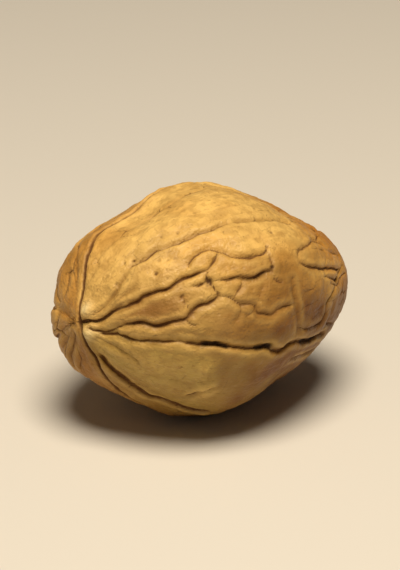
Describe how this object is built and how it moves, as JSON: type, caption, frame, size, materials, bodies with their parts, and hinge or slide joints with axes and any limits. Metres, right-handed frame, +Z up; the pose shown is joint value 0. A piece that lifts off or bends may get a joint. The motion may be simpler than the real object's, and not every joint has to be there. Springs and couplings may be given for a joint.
{
  "type": "walnut",
  "caption": "Whole walnut in its shell, lying on its side: an egg-shaped nut with a raised seam, a small pointed tip and a wrinkled, furrowed surface.",
  "frame": {"origin": "middle of the nut's box in plan, at the level of the small flat spot that it rests on", "axes": "+Z up, +X along the nut from its pointed tip to its base, -Y towards the front cheek"},
  "size_m": [0.0436, 0.0362, 0.0323],
  "materials": {
    "walnut_shell": "dry, lightly waxy nutshell, satin on the smooth pads and dark in the furrows"
  },
  "bodies": {
    "root": {"walnut": "walnut_shell"}
  },
  "joints": []
}
